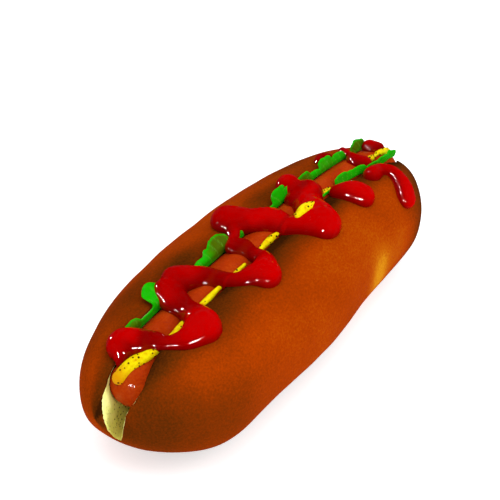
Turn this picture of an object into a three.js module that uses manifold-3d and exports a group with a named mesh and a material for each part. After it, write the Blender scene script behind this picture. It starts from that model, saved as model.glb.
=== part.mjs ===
// A dressed hot dog: a split soft roll, a frankfurter, two lettuce leaves, a line of grain mustard
// and a zigzag of ketchup with a few loose squirts.
// Millimetres, +Z up. The roll lies along X on the plane z = 0, with its nearer end at -X.
import * as THREE from 'three';
import { mergeVertices } from 'three/addons/utils/BufferGeometryUtils.js';
import Module from 'manifold-3d';

const wasm = await Module();
wasm.setup();

// ---------------------------------------------------------------- driving dimensions

const GAP = 0.3; // what touching pieces keep between them

const ROLL = {
  halfLength: 80,
  halfWidth: 32,
  crown: 47, // height of the roll's envelope, before the slit pulls its lips down
  waist: 24, // height of its widest line
  underside: 1.06, // how far the lower half would reach below the table, as a share of the waist
  topPower: 2.3, // superellipse powers of the cross-section
  bottomPower: 2.6,
  endPower: { nearLeft: 2.4, farLeft: 2.2, nearRight: 3.2, farRight: 2.0 }, // bluntness of each quarter in plan
  heightPower: 3.5, // bluntness of the ends from the side
  lipDrop: 4, // the crust falls this far towards the slit
  lipSpread: 9,
  // the right flank is uneven, as it was shaped by hand: a shoulder, a waist and a second shoulder
  swells: [
    { at: -58, size: 6.4, spread: 19.6 },
    { at: 28.5, size: -3.2, spread: 20 },
    { at: 63, size: 5, spread: 11.5 },
  ],
};

const SLIT = {
  halfWidth: 6.4,
  farHalfWidth: 5.5, // it closes a little towards the far end
  farDrift: 2, // and drifts to the left there
  sway: { at: -67, by: -2, spread: 7 }, // it bends to the right before the near end
  leftClosing: { at: -74, by: 0.45, spread: 2.5 }, // its left wall comes in at the near end
  rightClosings: [
    { at: -76.3, by: 2, spread: 2.4 }, // and its right wall more, right at the end
    { at: 8, by: 1.3, spread: 26 }, // and it leans on the sausage at mid length
    { at: -10.6, by: -2.6, spread: 3 }, // but stands open beside it in one place
    { at: 60, by: -1, spread: 9 }, // and a little near the far end
  ],
  leftHollow: 0.7, // power that hollows the left side of the V
  creaseHeight: 15, // the roll stays whole below this
  leftShoulder: 31, // where each side of the V above the crease has opened to the full width
  rightShoulder: 36,
  veerFrom: -50, // at the near end the cut turns away to the right
  veerLength: 30,
  veer: -9,
};

const SAUSAGE = {
  radius: 7.8,
  start: -71.8,
  end: 77,
  nearNose: 6, // its ends round over these lengths
  farNose: 8.5,
  height: 36.8, // of its axis at mid length
  nearDroop: { by: 8.1, power: 2.4 }, // how far it has sunk below that
  farDroop: { by: 7.4, power: 3.2 },
  droopAt: 74, // at this distance from the middle
  turn: { from: -65, over: 7, by: 2.6 }, // its near end turns to the left
};

const LEAF = {
  thickness: 1,
  tuck: 4.5, // the most that goes down beside the sausage
  bend: 1.5, // radius of the turn over the lip
  fan: 34, // how far a lobe's sides spread from its middle, in degrees
};

// Leaf edges, as lobes beyond the lip: middle, half width, length (below 0 for a bite), and lean from
// upright in degrees.
const LEFT_LEAF = {
  side: 1,
  from: -60,
  to: 68,
  rest: 0.9,
  lobes: [
    [-56.4, 3.8, 2.7, 70],
    [-49.2, 2.6, -2.8, 74],
    [-42.4, 2.9, 7.4, 74],
    [-22.6, 3.6, 2.4, 60],
    [-18.2, 3, 3.8, 60],
    [-13.8, 4.6, 5.4, 58],
    [-3.5, 3, 2.4, 50],
    [18.8, 3.4, 5, 24],
    [24.2, 2.6, 3.4, 18],
    [32.6, 3.4, 3.3, 20],
    [37.5, 3, 1.6, 30],
    [44.8, 4, 3.6, 36],
    [51.5, 3.4, 2.8, 26],
    [63.8, 3.8, 4.6, 16],
  ],
};
const RIGHT_LEAF = {
  side: -1,
  from: 25,
  to: 73,
  rest: 0.5,
  lobes: [
    [30, 3, 1, 0],
    [42.8, 4.4, 3.6, -28],
    [46.8, 3, 2.8, -24],
    [50.4, 4.6, 2.8, -22],
    [58.6, 4, 2.4, 4],
    [64.6, 4, 3.6, 4],
    [69.6, 3.8, 4.4, 4],
  ],
};

// Squeezed sauces: x and y over the crown, half-width, and rise above resting on it.
const MUSTARD_NEAR = [
  [-70, -1.4, 2.1, -0.2],
  [-64.5, -2.5, 2.4, -0.2],
  [-59.5, -4.2, 1.7, -0.7],
  [-52, -5.9, 1.3, -1],
  [-46, -6, 1.6, -0.9],
  [-38, -5.2, 1.2, -0.8],
  [-33, -4.9, 1.2, -0.6],
  [-27, -4.5, 0.8, -0.2],
  [-20, -4.8, 1, 0],
  [-13.4, -4.3, 0.6, 0.3],
];
const MUSTARD_MIDDLE = [
  [-6.6, -4.2, 0.5, 0.6],
  [-2.6, -3.5, 1, 0.7],
  [1.6, -3.1, 1.2, 0.7],
  [6, -3, 0.7, 0.7],
  [14, -2.5, 1.2, 0.6],
  [26, -1.4, 1.2, 0.6],
  [33, -1.4, 1, 0.3],
  [35.6, -1.4, 0.7, 0.1],
];
const MUSTARD_DAB = [
  [12, -7.1, 1.3, 4.3],
  [15.6, -7.2, 2.4, 4.4],
  [19, -7.5, 1.3, 4.8],
];
const MUSTARD_END = [
  [60.4, -0.7, 1.3, 1.6],
  [64.2, 0, 0.7, 1.6],
  [67.3, 0.4, 1.4, 1.6],
  [70.8, 0.7, 1.8, 1.5],
  [74.5, 1.3, 1.2, 1.3],
];
const KETCHUP_ZIGZAG = [
  [[-66.6, 1.4, 1.2, 0], [-64.3, 2.4, 2.6, 0], [-61.2, 4.6, 5.2, 0], [-55.6, -2.2, 3.8, 0],
   [-54.2, -7.4, 2.7, 0], [-50, -11.8, 3.9, 0], [-43.7, -12.9, 6.1, 0]],
  [[-42.4, -12, 5.4, 0], [-40.4, -4.2, 4, 0], [-39.4, 2.2, 4.8, 0], [-38.3, 6.5, 5.1, 0]],
  [[-33.4, 7.4, 5.3, 0], [-29.4, 5, 4.6, 0], [-25, 0.8, 4, 0], [-21.8, -7.4, 3, 0],
   [-17.8, -10.4, 3.8, 0], [-14.1, -13.2, 5.6, 0]],
  [[-14.1, -13.2, 5.6, 0], [-8.2, -8.2, 3, 0], [-8.1, -2.9, 2.8, 0.6], [-8, 1, 3.6, 1],
   [-9.6, 3.6, 3.3, 0.8]],
  [[-9.6, 3.6, 3.3, 0.8], [-6.9, 6.2, 2.3, 0.6], [-3.4, 9.6, 3, 0.6], [-2, 12.9, 5.8, 0]],
  [[-2, 12.9, 5.8, 0], [3, 7.5, 4.9, 0], [8.5, 2.2, 5.7, 0], [10.5, -4.9, 4.4, 0], [17.2, -12, 6.7, 0]],
  [[19.2, -8.8, 6.1, 0], [23.4, -0.6, 5.5, 0], [28.9, 2.7, 5.1, 0], [27.4, 6.2, 3.2, 0],
   [25.9, 9.2, 4.5, 0]],
  [[22.4, 3.2, 4.1, 0], [26, 3.4, 4.6, 0]],
];
const KETCHUP_DROP = [[35.2, -5.4, 3.4, 0], [37.5, -9.7, 4.8, 0], [38.6, -12.8, 4.7, 0]];
const KETCHUP_TAIL = [[51.6, -7.8, 3.5, 0], [56.4, -7.6, 3, 0], [58.8, -10.8, 2.9, 0], [58, -15, 3.1, 0],
  [56.6, -17.9, 3.5, 0], [54.4, -20.8, 3.6, 0]];
const KETCHUP_CURL = [[56.2, 8.6, 1.8, 0.8], [56.6, 6, 1.4, 1], [54.8, 2.2, 3.1, 1.1],
  [57, -0.8, 2.8, 0.9]];
const KETCHUP_TIP = [[66.4, 4.6, 3, 2.2], [69.6, 3, 2.4, 2.2]];
const KETCHUP_HOOK = [[44.6, 11, 1.4, 0], [47.8, 11.8, 1.6, 0], [50.4, 10.4, 1.3, 0]];

// ---------------------------------------------------------------- the roll's surface

const signedPower = (value, power) => Math.sign(value) * Math.abs(value) ** power;
const bell = (x, at, spread) => Math.exp(-(((x - at) / spread) ** 2));

function rollHalfWidth(x, left) {
  const u = Math.min(Math.abs(x) / ROLL.halfLength, 1);
  const quarter = (x < 0 ? 'near' : 'far') + (left ? 'Left' : 'Right');
  const taper = Math.sqrt(Math.max(1 - u ** ROLL.endPower[quarter], 0));
  const swell = left ? 0 : ROLL.swells.reduce((sum, s) => sum + s.size * bell(x, s.at, s.spread), 0);
  return (ROLL.halfWidth + swell) * taper;
}

// A point of the uncut roll's skin: x along it, and the angle from its left side over the crown.
function rollSkin(x, angle, grow = 0) {
  const u = Math.min(Math.abs(x) / ROLL.halfLength, 1);
  const rise = Math.sqrt(Math.max(1 - u ** ROLL.heightPower, 0));
  const c = Math.cos(angle);
  const s = Math.sin(angle);
  const upper = s >= 0;
  const power = 2 / (upper ? ROLL.topPower : ROLL.bottomPower);
  const y = (rollHalfWidth(x, c >= 0) + grow) * signedPower(c, power);
  const reach = (upper ? ROLL.crown - ROLL.waist : ROLL.waist * ROLL.underside) * rise + grow;
  let z = ROLL.waist + reach * signedPower(s, power);
  if (upper) z -= ROLL.lipDrop * rise * bell(y, 0, ROLL.lipSpread) * Math.sqrt(s);
  return new THREE.Vector3(x, y, Math.max(z, 0));
}

// The point of the uncut crown over x and y, found by halving the angle between side and side.
function crownPoint(x, y) {
  let low = 0;
  let high = Math.PI;
  for (let i = 0; i < 30; i++) {
    const middle = (low + high) / 2;
    if (rollSkin(x, middle).y > y) low = middle;
    else high = middle;
  }
  return new THREE.Vector3(x, y, rollSkin(x, (low + high) / 2).z);
}

function crownNormal(x, y) {
  const step = 0.5;
  const alongX = crownPoint(x + step, y).sub(crownPoint(x - step, y));
  const alongY = crownPoint(x, y + step).sub(crownPoint(x, y - step));
  return alongX.cross(alongY).normalize();
}

function ease(value) {
  const t = Math.min(Math.max(value, 0), 1);
  return t * t * (3 - 2 * t);
}

const towardsFarEnd = (x) => ease((x + 30) / 70);
const slitHalfWidth = (x) => SLIT.halfWidth + (SLIT.farHalfWidth - SLIT.halfWidth) * towardsFarEnd(x);
const swelling = (x, { at, by, spread }) => by * bell(x, at, spread);
const slitMiddle = (x) =>
  SLIT.veer * (Math.max(SLIT.veerFrom - x, 0) / SLIT.veerLength) ** 3 +
  swelling(x, SLIT.sway) +
  SLIT.farDrift * towardsFarEnd(x);

// Distance of one wall of the slit from its middle at x and height z; side is 1 for left, -1 for right.
function slitWall(x, z, side) {
  const shoulder = side > 0 ? SLIT.leftShoulder : SLIT.rightShoulder;
  const open = Math.min(Math.max((z - SLIT.creaseHeight) / (shoulder - SLIT.creaseHeight), 0), 1);
  const closings = side > 0 ? [SLIT.leftClosing] : SLIT.rightClosings;
  const closing = closings.reduce((sum, one) => sum + swelling(x, one), 0);
  return (slitHalfWidth(x) - closing) * open ** (side > 0 ? SLIT.leftHollow : 1);
}

// Height of the edge where a wall of the slit comes out through the crown.
function lipHeight(x, side) {
  let z = ROLL.crown;
  for (let i = 0; i < 8; i++) z = crownPoint(x, slitMiddle(x) + side * slitWall(x, z, side)).z;
  return z;
}

// ---------------------------------------------------------------- solids from rings

// Joins rings of equal count into one closed skin, with a fan over each end ring.
function loft(rings, firstTip, lastTip) {
  const count = rings[0].length;
  const points = rings.flat();
  const triangles = [];
  for (let r = 0; r + 1 < rings.length; r++) {
    for (let k = 0; k < count; k++) {
      const a = r * count + k;
      const b = r * count + ((k + 1) % count);
      triangles.push(a, b, b + count, a, b + count, a + count);
    }
  }
  const first = points.push(firstTip) - 1;
  const last = points.push(lastTip) - 1;
  const lastRing = (rings.length - 1) * count;
  for (let k = 0; k < count; k++) {
    const next = (k + 1) % count;
    triangles.push(first, next, k, last, lastRing + k, lastRing + next);
  }
  const geometry = new THREE.BufferGeometry().setFromPoints(points);
  geometry.setIndex(triangles);
  return geometry;
}

function toSolid(geometry) {
  const bare = geometry.clone();
  bare.deleteAttribute('normal');
  bare.deleteAttribute('uv');
  const merged = mergeVertices(bare, 1e-5);
  const mesh = new wasm.Mesh({
    numProp: 3,
    vertProperties: new Float32Array(merged.attributes.position.array),
    triVerts: new Uint32Array(merged.index.array),
  });
  return new wasm.Manifold(mesh);
}

function toGeometry(solid) {
  const mesh = solid.getMesh();
  const geometry = new THREE.BufferGeometry();
  geometry.setAttribute('position', new THREE.BufferAttribute(mesh.vertProperties, 3));
  geometry.setIndex(new THREE.BufferAttribute(mesh.triVerts, 1));
  return geometry;
}

const join = (solids) => solids.reduce((whole, solid) => whole.add(solid));
const cut = (solid, cutters) => cutters.reduce((rest, cutter) => rest.subtract(cutter), solid);
const largest = (solid) => solid.decompose().reduce((best, part) => (part.volume() > best.volume() ? part : best));
const middleOf = (ring) => ring.reduce((sum, p) => sum.add(p), new THREE.Vector3()).divideScalar(ring.length);

// Stations from one end to the other, closer together where the ends are round.
function stations(from, to, count) {
  const middle = (from + to) / 2;
  const half = (to - from) / 2;
  return Array.from({ length: count }, (_, i) => middle - half * Math.cos((Math.PI * (i + 1)) / (count + 1)));
}

// Smooth curve through rows of numbers, at t counted in rows.
function through(rows, t) {
  const i = Math.min(Math.floor(t), rows.length - 2);
  const f = t - i;
  const [a, b, c, d] = [i - 1, i, i + 1, i + 2].map((n) => rows[Math.min(Math.max(n, 0), rows.length - 1)]);
  return b.map((_, k) => {
    const slopeB = (c[k] - a[k]) / 2;
    const slopeC = (d[k] - b[k]) / 2;
    const gap = c[k] - b[k];
    return b[k] + f * slopeB + f * f * (3 * gap - 2 * slopeB - slopeC) + f ** 3 * (slopeB + slopeC - 2 * gap);
  });
}

// ---------------------------------------------------------------- roll and sausage

const AROUND_ROLL = 40;
const ALONG_ROLL = 28;

function rollBody(grow = 0) {
  const rings = stations(-ROLL.halfLength, ROLL.halfLength, ALONG_ROLL).map((x) =>
    Array.from({ length: AROUND_ROLL }, (_, k) => rollSkin(x, (2 * Math.PI * k) / AROUND_ROLL, grow)),
  );
  const tip = (side) => new THREE.Vector3(side * (ROLL.halfLength + grow), 0, ROLL.waist);
  return toSolid(loft(rings, tip(-1), tip(1)));
}

// The knife's cut: parallel walls above, closing down to the crease.
function slitCutter(grow = 0) {
  const beyond = ROLL.halfLength + 10;
  const above = ROLL.crown + 15;
  const cuts = [-beyond, -79, -76, -73, -70, -66, -62, -57, -50, -30, -16, -13, -10.6, -8, -5, 4, 14, 24, 34, 44, 52, 60, 68, beyond];
  const rings = cuts.map((x) => {
    const held = Math.max(x, -ROLL.halfLength);
    const left = [0.3, 0.65, 1].map((share) => SLIT.creaseHeight + share * (SLIT.leftShoulder - SLIT.creaseHeight));
    const outline = [
      [0, SLIT.creaseHeight + grow],
      ...[...left, above].map((z) => [slitWall(held, z, 1) - grow, z]),
      ...[above, SLIT.rightShoulder].map((z) => [grow - slitWall(held, z, -1), z]),
    ];
    return outline.map(([y, z]) => new THREE.Vector3(x, y + slitMiddle(held), z));
  });
  return toSolid(loft(rings, middleOf(rings[0]), middleOf(rings.at(-1))));
}

const AROUND_SAUSAGE = 16;

function sausageAxis(x) {
  const { by, power } = x < 0 ? SAUSAGE.nearDroop : SAUSAGE.farDroop;
  const share = Math.abs(x) / SAUSAGE.droopAt;
  const turned = SAUSAGE.turn.by * ease((SAUSAGE.turn.from - x) / SAUSAGE.turn.over);
  return new THREE.Vector3(x, slitMiddle(x) + turned, SAUSAGE.height - by * share ** power);
}

function sausageRadius(x) {
  const fromEnd = Math.min((x - SAUSAGE.start) / SAUSAGE.nearNose, (SAUSAGE.end - x) / SAUSAGE.farNose);
  if (fromEnd >= 1) return SAUSAGE.radius;
  return SAUSAGE.radius * Math.sqrt(1 - (1 - Math.max(fromEnd, 0)) ** 2);
}

function sausageBody(grow = 0) {
  const nose = (length) => Array.from({ length: 5 }, (_, i) => length * (1 - Math.cos((Math.PI * (i + 1)) / 10)));
  const from = SAUSAGE.start + SAUSAGE.nearNose;
  const plain = SAUSAGE.end - SAUSAGE.farNose - from;
  const xs = [
    ...nose(SAUSAGE.nearNose).map((d) => SAUSAGE.start + d),
    ...Array.from({ length: 11 }, (_, i) => from + ((i + 1) * plain) / 12),
    ...nose(SAUSAGE.farNose).toReversed().map((d) => SAUSAGE.end - d),
  ];
  const rings = xs.map((x) => {
    const axis = sausageAxis(x);
    const radius = sausageRadius(x) + grow;
    return Array.from({ length: AROUND_SAUSAGE }, (_, k) => {
      const angle = (2 * Math.PI * k) / AROUND_SAUSAGE;
      return new THREE.Vector3(x, axis.y + radius * Math.cos(angle), axis.z + radius * Math.sin(angle));
    });
  });
  const tip = (x, side) => sausageAxis(x).add(new THREE.Vector3(side * grow, 0, 0));
  return toSolid(loft(rings, tip(SAUSAGE.start, -1), tip(SAUSAGE.end, 1)));
}

// ---------------------------------------------------------------- lettuce

// How far the leaf stands out beyond the lip at x, how it leans there, and how it fans out.
function leafEdge(leaf, x) {
  let reach = leaf.rest;
  let weight = 1e-4;
  let lean = 0;
  let fan = 0;
  for (const [at, half, length, degrees] of leaf.lobes) {
    const dome = Math.sqrt(Math.max(1 - Math.abs((x - at) / half) ** 2.4, 0));
    reach = length > 0 ? Math.max(reach, length * dome) : reach + length * dome;
    const share = bell(x, at, half * 0.9);
    weight += share;
    lean += share * degrees;
    fan += share * Math.min(Math.max((x - at) / half, -1), 1);
  }
  return {
    reach,
    lean: THREE.MathUtils.degToRad(lean / weight),
    fan: (THREE.MathUtils.degToRad(LEAF.fan) * fan) / weight,
  };
}

// Middle line of the leaf at x, from its root beside the sausage, over the lip, to its free edge.
function leafLine(leaf, x, steps) {
  const lip = lipHeight(x, leaf.side);
  const inset = GAP + LEAF.thickness / 2 + 0.05;
  const wall = (z) => slitWall(x, z, leaf.side) - inset;
  const clear = wall(lip) - LEAF.thickness / 2;
  const round = Math.sqrt(Math.max((sausageRadius(x) + GAP) ** 2 - clear ** 2, 0));
  const root = Math.max(sausageAxis(x).z + round, lip - LEAF.tuck);
  const edge = leafEdge(leaf, x);
  const { lean, fan } = edge;
  const depth = lip - root; // below 0 where the sausage stands above the lip
  const reach = Math.max(edge.reach, 0.7 - depth);
  const below = depth > 0.3 ? 2 : 0; // steps under the lip, so that every section has a point at it
  const start = below ? 0 : -depth;
  return Array.from({ length: steps }, (_, i) => {
    const beyond = (i - below) / (steps - 1 - below);
    const s = i < below ? -depth * (1 - i / below) : start + (reach - start) * beyond;
    if (s < 0) return new THREE.Vector3(x, slitMiddle(x) + leaf.side * wall(lip + s), lip + s);
    const turned = Math.min(s / LEAF.bend, Math.abs(lean)) * Math.sign(lean || 1);
    const straight = s - Math.abs(turned) * LEAF.bend;
    const out = Math.sign(turned) * LEAF.bend * (1 - Math.cos(turned)) + straight * Math.sin(turned);
    const up = LEAF.bend * Math.abs(Math.sin(turned)) + straight * Math.cos(turned);
    return new THREE.Vector3(x + s * Math.sin(fan), slitMiddle(x) + leaf.side * (wall(lip) + out), lip + up);
  });
}

// The leaf as a thin solid: each section's middle line is thickened to both sides into a ring.
function leafBody(leaf, grow = 0) {
  const steps = 7;
  const count = Math.round((leaf.to - leaf.from) / 2.6);
  const half = LEAF.thickness / 2 + grow;
  const rings = [];
  for (let i = 0; i <= count; i++) {
    const end = i === 0 ? -grow : i === count ? grow : 0;
    const x = leaf.from + ((leaf.to - leaf.from) * i) / count;
    const line = leafLine(leaf, x, steps).map((p) => p.setX(x + end));
    const along = line.map((p, k) =>
      line[Math.min(k + 1, steps - 1)].clone().sub(line[Math.max(k - 1, 0)]).normalize(),
    );
    line[0].addScaledVector(along[0], -grow);
    line[steps - 1].addScaledVector(along[steps - 1], grow);
    const offset = (k, side) => {
      const { y, z } = along[k];
      return line[k].clone().add(new THREE.Vector3(0, -z * side * half, y * side * half));
    };
    const inner = line.map((_, k) => offset(k, leaf.side));
    const outer = line.map((_, k) => offset(k, -leaf.side)).toReversed();
    rings.push(leaf.side > 0 ? [...outer, ...inner].toReversed() : [...outer, ...inner]);
  }
  return toSolid(loft(rings, middleOf(rings[0]), middleOf(rings.at(-1))));
}

// ---------------------------------------------------------------- squeezed sauces

// A bead through rows of x, y, half-width and rise, draped over the crown with rounded ends.
function bead(rows, { height, settle, grow = 0, around = 10, perRow = 2 }) {
  const count = (rows.length - 1) * perRow;
  const line = Array.from({ length: count + 1 }, (_, i) => through(rows, i / perRow));
  const heading = (a, b) => new THREE.Vector2(b[0] - a[0], b[1] - a[1]).normalize();
  const startWay = heading(line[0], line[1]);
  const endWay = heading(line[count - 1], line[count]);
  const capAngles = [68, 34].map(THREE.MathUtils.degToRad);
  const capRow = ([x, y, radius, rise], way, side, angle) => {
    const back = side * (radius + grow) * Math.sin(angle);
    return [x + way.x * back, y + way.y * back, (radius + grow) * Math.cos(angle) - grow, rise];
  };
  const all = [
    ...capAngles.map((angle) => ({ row: capRow(line[0], startWay, -1, angle), way: startWay })),
    ...line.map((row, i) => ({ row, way: heading(line[Math.max(i - 1, 0)], line[Math.min(i + 1, count)]) })),
    ...capAngles.toReversed().map((angle) => ({ row: capRow(line[count], endWay, 1, angle), way: endWay })),
  ];
  const rings = all.map(({ row: [x, y, radius, rise], way }) => {
    const normal = crownNormal(x, y);
    const side = normal.clone().cross(new THREE.Vector3(way.x, way.y, 0)).normalize();
    const centre = crownPoint(x, y).addScaledVector(normal, settle * radius + rise);
    return Array.from({ length: around }, (_, k) => {
      const angle = (2 * Math.PI * k) / around;
      return centre
        .clone()
        .addScaledVector(side, -(radius + grow) * Math.cos(angle))
        .addScaledVector(normal, (height * radius + grow) * Math.sin(angle));
    });
  });
  return toSolid(loft(rings.map((ring) => ring.toReversed()), middleOf(rings[0]), middleOf(rings.at(-1))));
}

const KETCHUP_FORM = { height: 0.62, settle: 0.32 };
const MUSTARD_FORM = { height: 1, settle: 0, around: 8, perRow: 1 };

// ---------------------------------------------------------------- putting it together

const pocket = sausageBody(GAP); // the crumb gives way round the sausage
const roll = rollBody().subtract(slitCutter()).subtract(pocket);
const sausage = sausageBody();
const leftLeaf = leafBody(LEFT_LEAF);
const rightLeaf = leafBody(RIGHT_LEAF);

const clearRoll = rollBody(GAP).subtract(slitCutter(GAP));
const clearLeaves = [leafBody(LEFT_LEAF, GAP), leafBody(RIGHT_LEAF, GAP)];
const [mustardNear, mustardMiddle, mustardEnd] = [MUSTARD_NEAR, MUSTARD_MIDDLE, MUSTARD_END].map((rows) =>
  largest(cut(bead(rows, MUSTARD_FORM), [clearRoll, pocket, ...clearLeaves])),
);
const dab = bead(MUSTARD_DAB, MUSTARD_FORM);
const grown = (rows) => bead(rows, { ...MUSTARD_FORM, grow: GAP });
const underKetchup = [clearRoll, pocket, ...clearLeaves, ...[MUSTARD_NEAR, MUSTARD_MIDDLE, MUSTARD_END].map(grown)];

// What is left of a squeeze of ketchup over everything it lies on.
function ketchup(strokes, cutters = underKetchup) {
  return largest(cut(join(strokes.map((rows) => bead(rows, KETCHUP_FORM))), cutters));
}

const group = new THREE.Group();
function addPiece(name, solid, colour, roughness) {
  const material = new THREE.MeshStandardMaterial({ color: colour, roughness, metalness: 0 });
  const mesh = new THREE.Mesh(toGeometry(solid), material);
  mesh.name = name;
  group.add(mesh);
}

addPiece('bun', roll, 0xb84a10, 0.6);
addPiece('sausage', sausage, 0xb43a08, 0.3);
addPiece('lettuce_left', leftLeaf, 0x22bd03, 0.45);
addPiece('lettuce_right', rightLeaf, 0x22bd03, 0.45);
addPiece('mustard_near', mustardNear, 0xf0df01, 0.35);
addPiece('mustard_middle', mustardMiddle, 0xf0df01, 0.35);
addPiece('mustard_dab', dab, 0xf0df01, 0.35);
addPiece('mustard_end', mustardEnd, 0xf0df01, 0.35);
addPiece('ketchup_zigzag', ketchup(KETCHUP_ZIGZAG, [...underKetchup, grown(MUSTARD_DAB)]), 0xc00000, 0.2);
addPiece('ketchup_drop', ketchup([KETCHUP_DROP]), 0xc00000, 0.2);
addPiece('ketchup_tail', ketchup([KETCHUP_TAIL]), 0xc00000, 0.2);
addPiece('ketchup_curl', ketchup([KETCHUP_CURL]), 0xc00000, 0.2);
addPiece('ketchup_tip', ketchup([KETCHUP_TIP]), 0xc00000, 0.2);
addPiece('ketchup_hook', ketchup([KETCHUP_HOOK]), 0xc00000, 0.2);

export default group;
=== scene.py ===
"""The looks of a dressed hot dog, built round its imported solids.

Sizes are in millimetres until a mesh is made. Lamps, the camera and coordinates in materials are in metres.
"""
import math

import bmesh
import bpy
import numpy as np
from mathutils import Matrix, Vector


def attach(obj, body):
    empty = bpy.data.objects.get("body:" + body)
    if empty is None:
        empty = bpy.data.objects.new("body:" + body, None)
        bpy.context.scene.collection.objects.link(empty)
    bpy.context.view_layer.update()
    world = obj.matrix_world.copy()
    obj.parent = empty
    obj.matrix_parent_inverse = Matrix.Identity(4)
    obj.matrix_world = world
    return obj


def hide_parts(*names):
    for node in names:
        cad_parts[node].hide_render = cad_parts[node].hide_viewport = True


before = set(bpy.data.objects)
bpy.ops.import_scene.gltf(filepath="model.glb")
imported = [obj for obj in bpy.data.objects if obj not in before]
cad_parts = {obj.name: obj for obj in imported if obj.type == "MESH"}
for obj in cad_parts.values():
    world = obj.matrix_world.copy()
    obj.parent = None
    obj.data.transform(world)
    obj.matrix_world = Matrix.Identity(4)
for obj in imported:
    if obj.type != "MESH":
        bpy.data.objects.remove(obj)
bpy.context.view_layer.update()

MM = 0.001
BODY = "root"

# ------ sizes of the food

HALF_LENGTH = 80.0
HALF_WIDTH = 32.0
CROWN = 47.0  # the roll's envelope, before the slit pulls its lips down
WAIST = 24.0  # height of its widest line
UNDERSIDE = 1.06  # how far the lower half would reach below the table, as a share of the waist
TOP_POWER = 2.3  # superellipse powers of the cross-section
BOTTOM_POWER = 2.6
NEAR_LEFT_POWER = 2.4  # bluntness of each quarter in plan
FAR_LEFT_POWER = 2.2
NEAR_RIGHT_POWER = 3.2
FAR_RIGHT_POWER = 2.0
HEIGHT_POWER = 3.5  # bluntness of the ends from the side
LIP_DROP = 4.0
LIP_SPREAD = 9.0
SWELLS = [(-58, 6.4, 19.6), (28.5, -3.2, 20), (63, 5, 11.5)]  # of the right flank: place, size, spread

SLIT_NEAR_HALF = 6.4
SLIT_FAR_HALF = 5.5
SLIT_DRIFT = 2.0  # how far it shifts to the left on its way to the far end
SLIT_CHANGE_START = -30  # where its near width and place begin to turn into the far ones
SLIT_CHANGE_LENGTH = 70
SLIT_VEER = -9.0  # how far it veers to the right over the last stretch before the near end
SLIT_VEER_START = -50
SLIT_VEER_LENGTH = 30
SLIT_SWAYS = [(-67, -2.0, 7)]  # its bends on the way: place, size, spread
CREASE = 15.0  # height of the slit's bottom
LEFT_SHOULDER = 31.0  # height above which a wall stands upright
RIGHT_SHOULDER = 36.0
LEFT_WALL_POWER = 0.7  # how round a wall is below its shoulder
RIGHT_WALL_POWER = 1
# Where the walls come in towards the sausage: place, size (below 0 where they stand off), spread.
LEFT_CLOSINGS = [(-74, 0.45, 2.5)]
RIGHT_CLOSINGS = [(8, 1.3, 26), (-76.3, 2.0, 2.4), (-10.6, -2.6, 3), (60, -1.0, 9)]
KNIFE_OVERHANG = 8  # how far the knife reaches past the roll
TORN_START = 1  # how far above the crease the walls begin to be torn

SAUSAGE_RADIUS = 7.8
SAUSAGE_START = -71.8
SAUSAGE_END = 77.0
SAUSAGE_REACH = 74.0  # distance from the middle at which the droops are measured
NOSE_TURN = 2.6  # its near end turns this far to the left
NOSE_TURN_START = -65
NOSE_TURN_LENGTH = 7
NEAR_NOSE = 6.0
FAR_NOSE = 8.5
SAUSAGE_HEIGHT = 36.8
NEAR_DROOP = 8.1
NEAR_DROOP_POWER = 2.4
FAR_DROOP = 7.4
FAR_DROOP_POWER = 3.2
POCKET_GAP = 0.3
CRUST_DEPTH = 0.5
CRUMB_FADE = 0.7  # how far below the crust the crumb is fully pale

# Unevenness of a surface: size, wavelength and seed of each layer of it.
CRUST_RIPPLES = [(0.2, 30, 1), (0.08, 10, 2)]
TORN_RIPPLES = [(0.25, 5, 4)]
CASING_RIPPLES = [(0.12, 18, 7), (0.04, 5, 8)]
CASING_TRIM = 0.12  # what keeps the uneven casing inside its true radius
FLANK_TRIM = 0.6  # the left flank is drawn in by this much
FLANK_TRIM_LENGTH = 20

# How finely the food is drawn: points along and round.
ROLL_MESH = (190, 150)
KNIFE_MESH = (120, 24)
SAUSAGE_MESH = (150, 72)
POCKET_MESH = (90, 48)
ROLL_VOXEL = 0.68
ROLL_SMOOTHING = 5
SAUCE_SMOOTHING = 6

LEAF_THICKNESS = 0.7
LEAF_BEND = 1.5
LEAF_TUCK = 4.5
LEAF_GAP = 0.35  # between a leaf and the slit's wall
LEAF_FAN = 34.0  # how far a lobe's sides spread from its middle, in degrees
LEAF_SPACING = 0.35  # between one middle line and the next
LEAF_STEPS = 26  # points along each middle line
LEAF_LEAST = 0.7  # length of the shortest middle line
ROOT_GAP = 0.2  # between the roots and the sausage
LOBE_POWER = 2.4  # bluntness of a lobe
EDGE_BLUR = 0.55  # how far the edge is rounded between lobes
EDGE_BLUR_STEPS = 6
FLUTTER = 0.3
RIB_WIDTH = 0.16
LEFT_LEAF = (-60, 68, 0.9)  # start, end, and how far it stands out between its lobes
RIGHT_LEAF = (25, 73, 0.5)

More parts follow.
